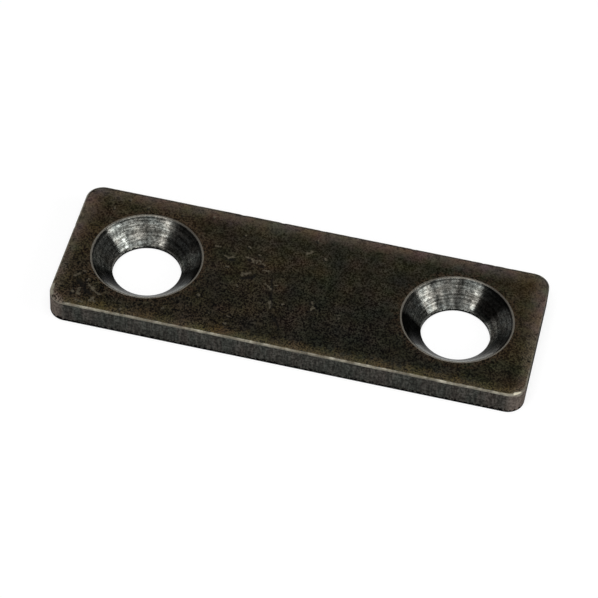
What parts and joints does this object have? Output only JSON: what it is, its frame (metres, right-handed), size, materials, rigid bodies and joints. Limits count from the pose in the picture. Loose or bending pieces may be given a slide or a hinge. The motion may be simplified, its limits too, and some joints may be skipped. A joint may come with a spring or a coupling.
{
  "type": "mending plate",
  "caption": "Flat blackened steel mending plate with rounded corners, a rolled upper edge and bare countersunk screw holes.",
  "frame": {"origin": "centre of the underside, which lies against the wood", "axes": "+X along the plate's length, +Z out of the face that the screw heads sink into"},
  "size_m": [0.038, 0.013, 0.0022],
  "materials": {
    "blackened_steel": "dark scale on the faces and sheared sides, worn to bare metal along the upper edge, bare turned countersinks"
  },
  "bodies": {
    "root": {"plate": "blackened_steel"}
  },
  "joints": []
}
